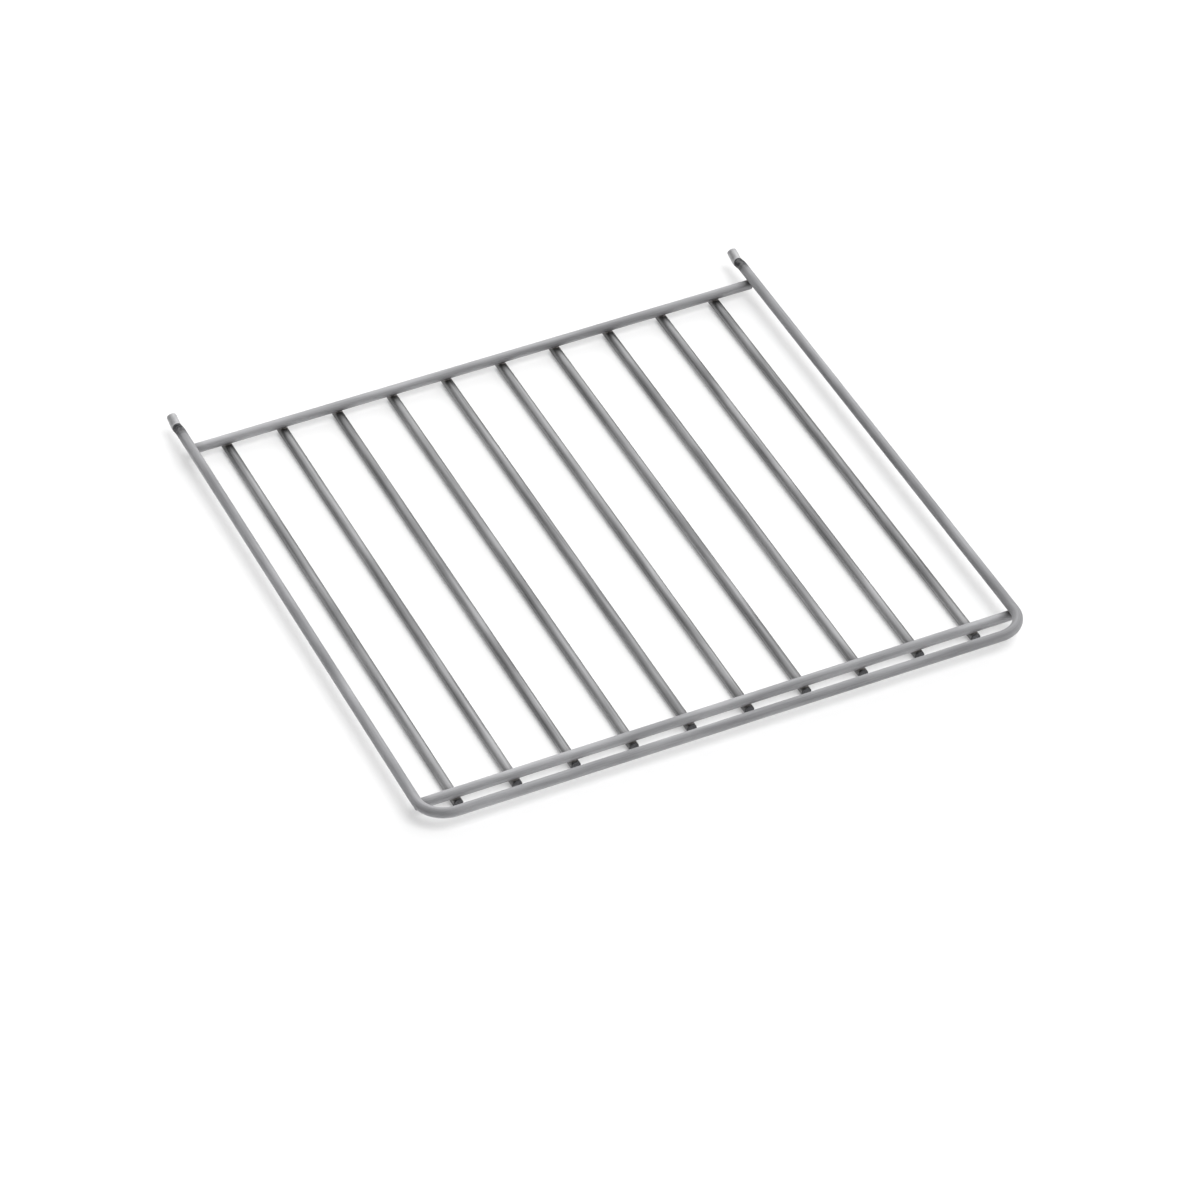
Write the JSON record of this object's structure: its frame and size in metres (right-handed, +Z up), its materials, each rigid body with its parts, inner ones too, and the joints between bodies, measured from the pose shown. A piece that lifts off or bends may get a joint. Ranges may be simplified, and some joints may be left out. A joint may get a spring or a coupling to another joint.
{
  "type": "grill grate",
  "caption": "Flat welded steel wire grill grate: a row of parallel bars under two cross wires and a U-shaped frame wire with rounded front corners and hooked rear ends.",
  "frame": {"origin": "under the middle of the grate's box, on the surface that its bars lie on", "axes": "+X across the grate to its right, +Y along the bars towards the hooked rear ends, +Z up"},
  "size_m": [0.305, 0.327, 0.015],
  "materials": {
    "drawn_steel": "satin"
  },
  "bodies": {
    "root": {"frame_wire": "drawn_steel", "rear_cross_wire": "drawn_steel", "front_cross_wire": "drawn_steel", "bar_01": "drawn_steel", "bar_02": "drawn_steel", "bar_03": "drawn_steel", "bar_04": "drawn_steel", "bar_05": "drawn_steel", "bar_06": "drawn_steel", "bar_07": "drawn_steel", "bar_08": "drawn_steel", "bar_09": "drawn_steel", "bar_10": "drawn_steel"}
  },
  "joints": []
}
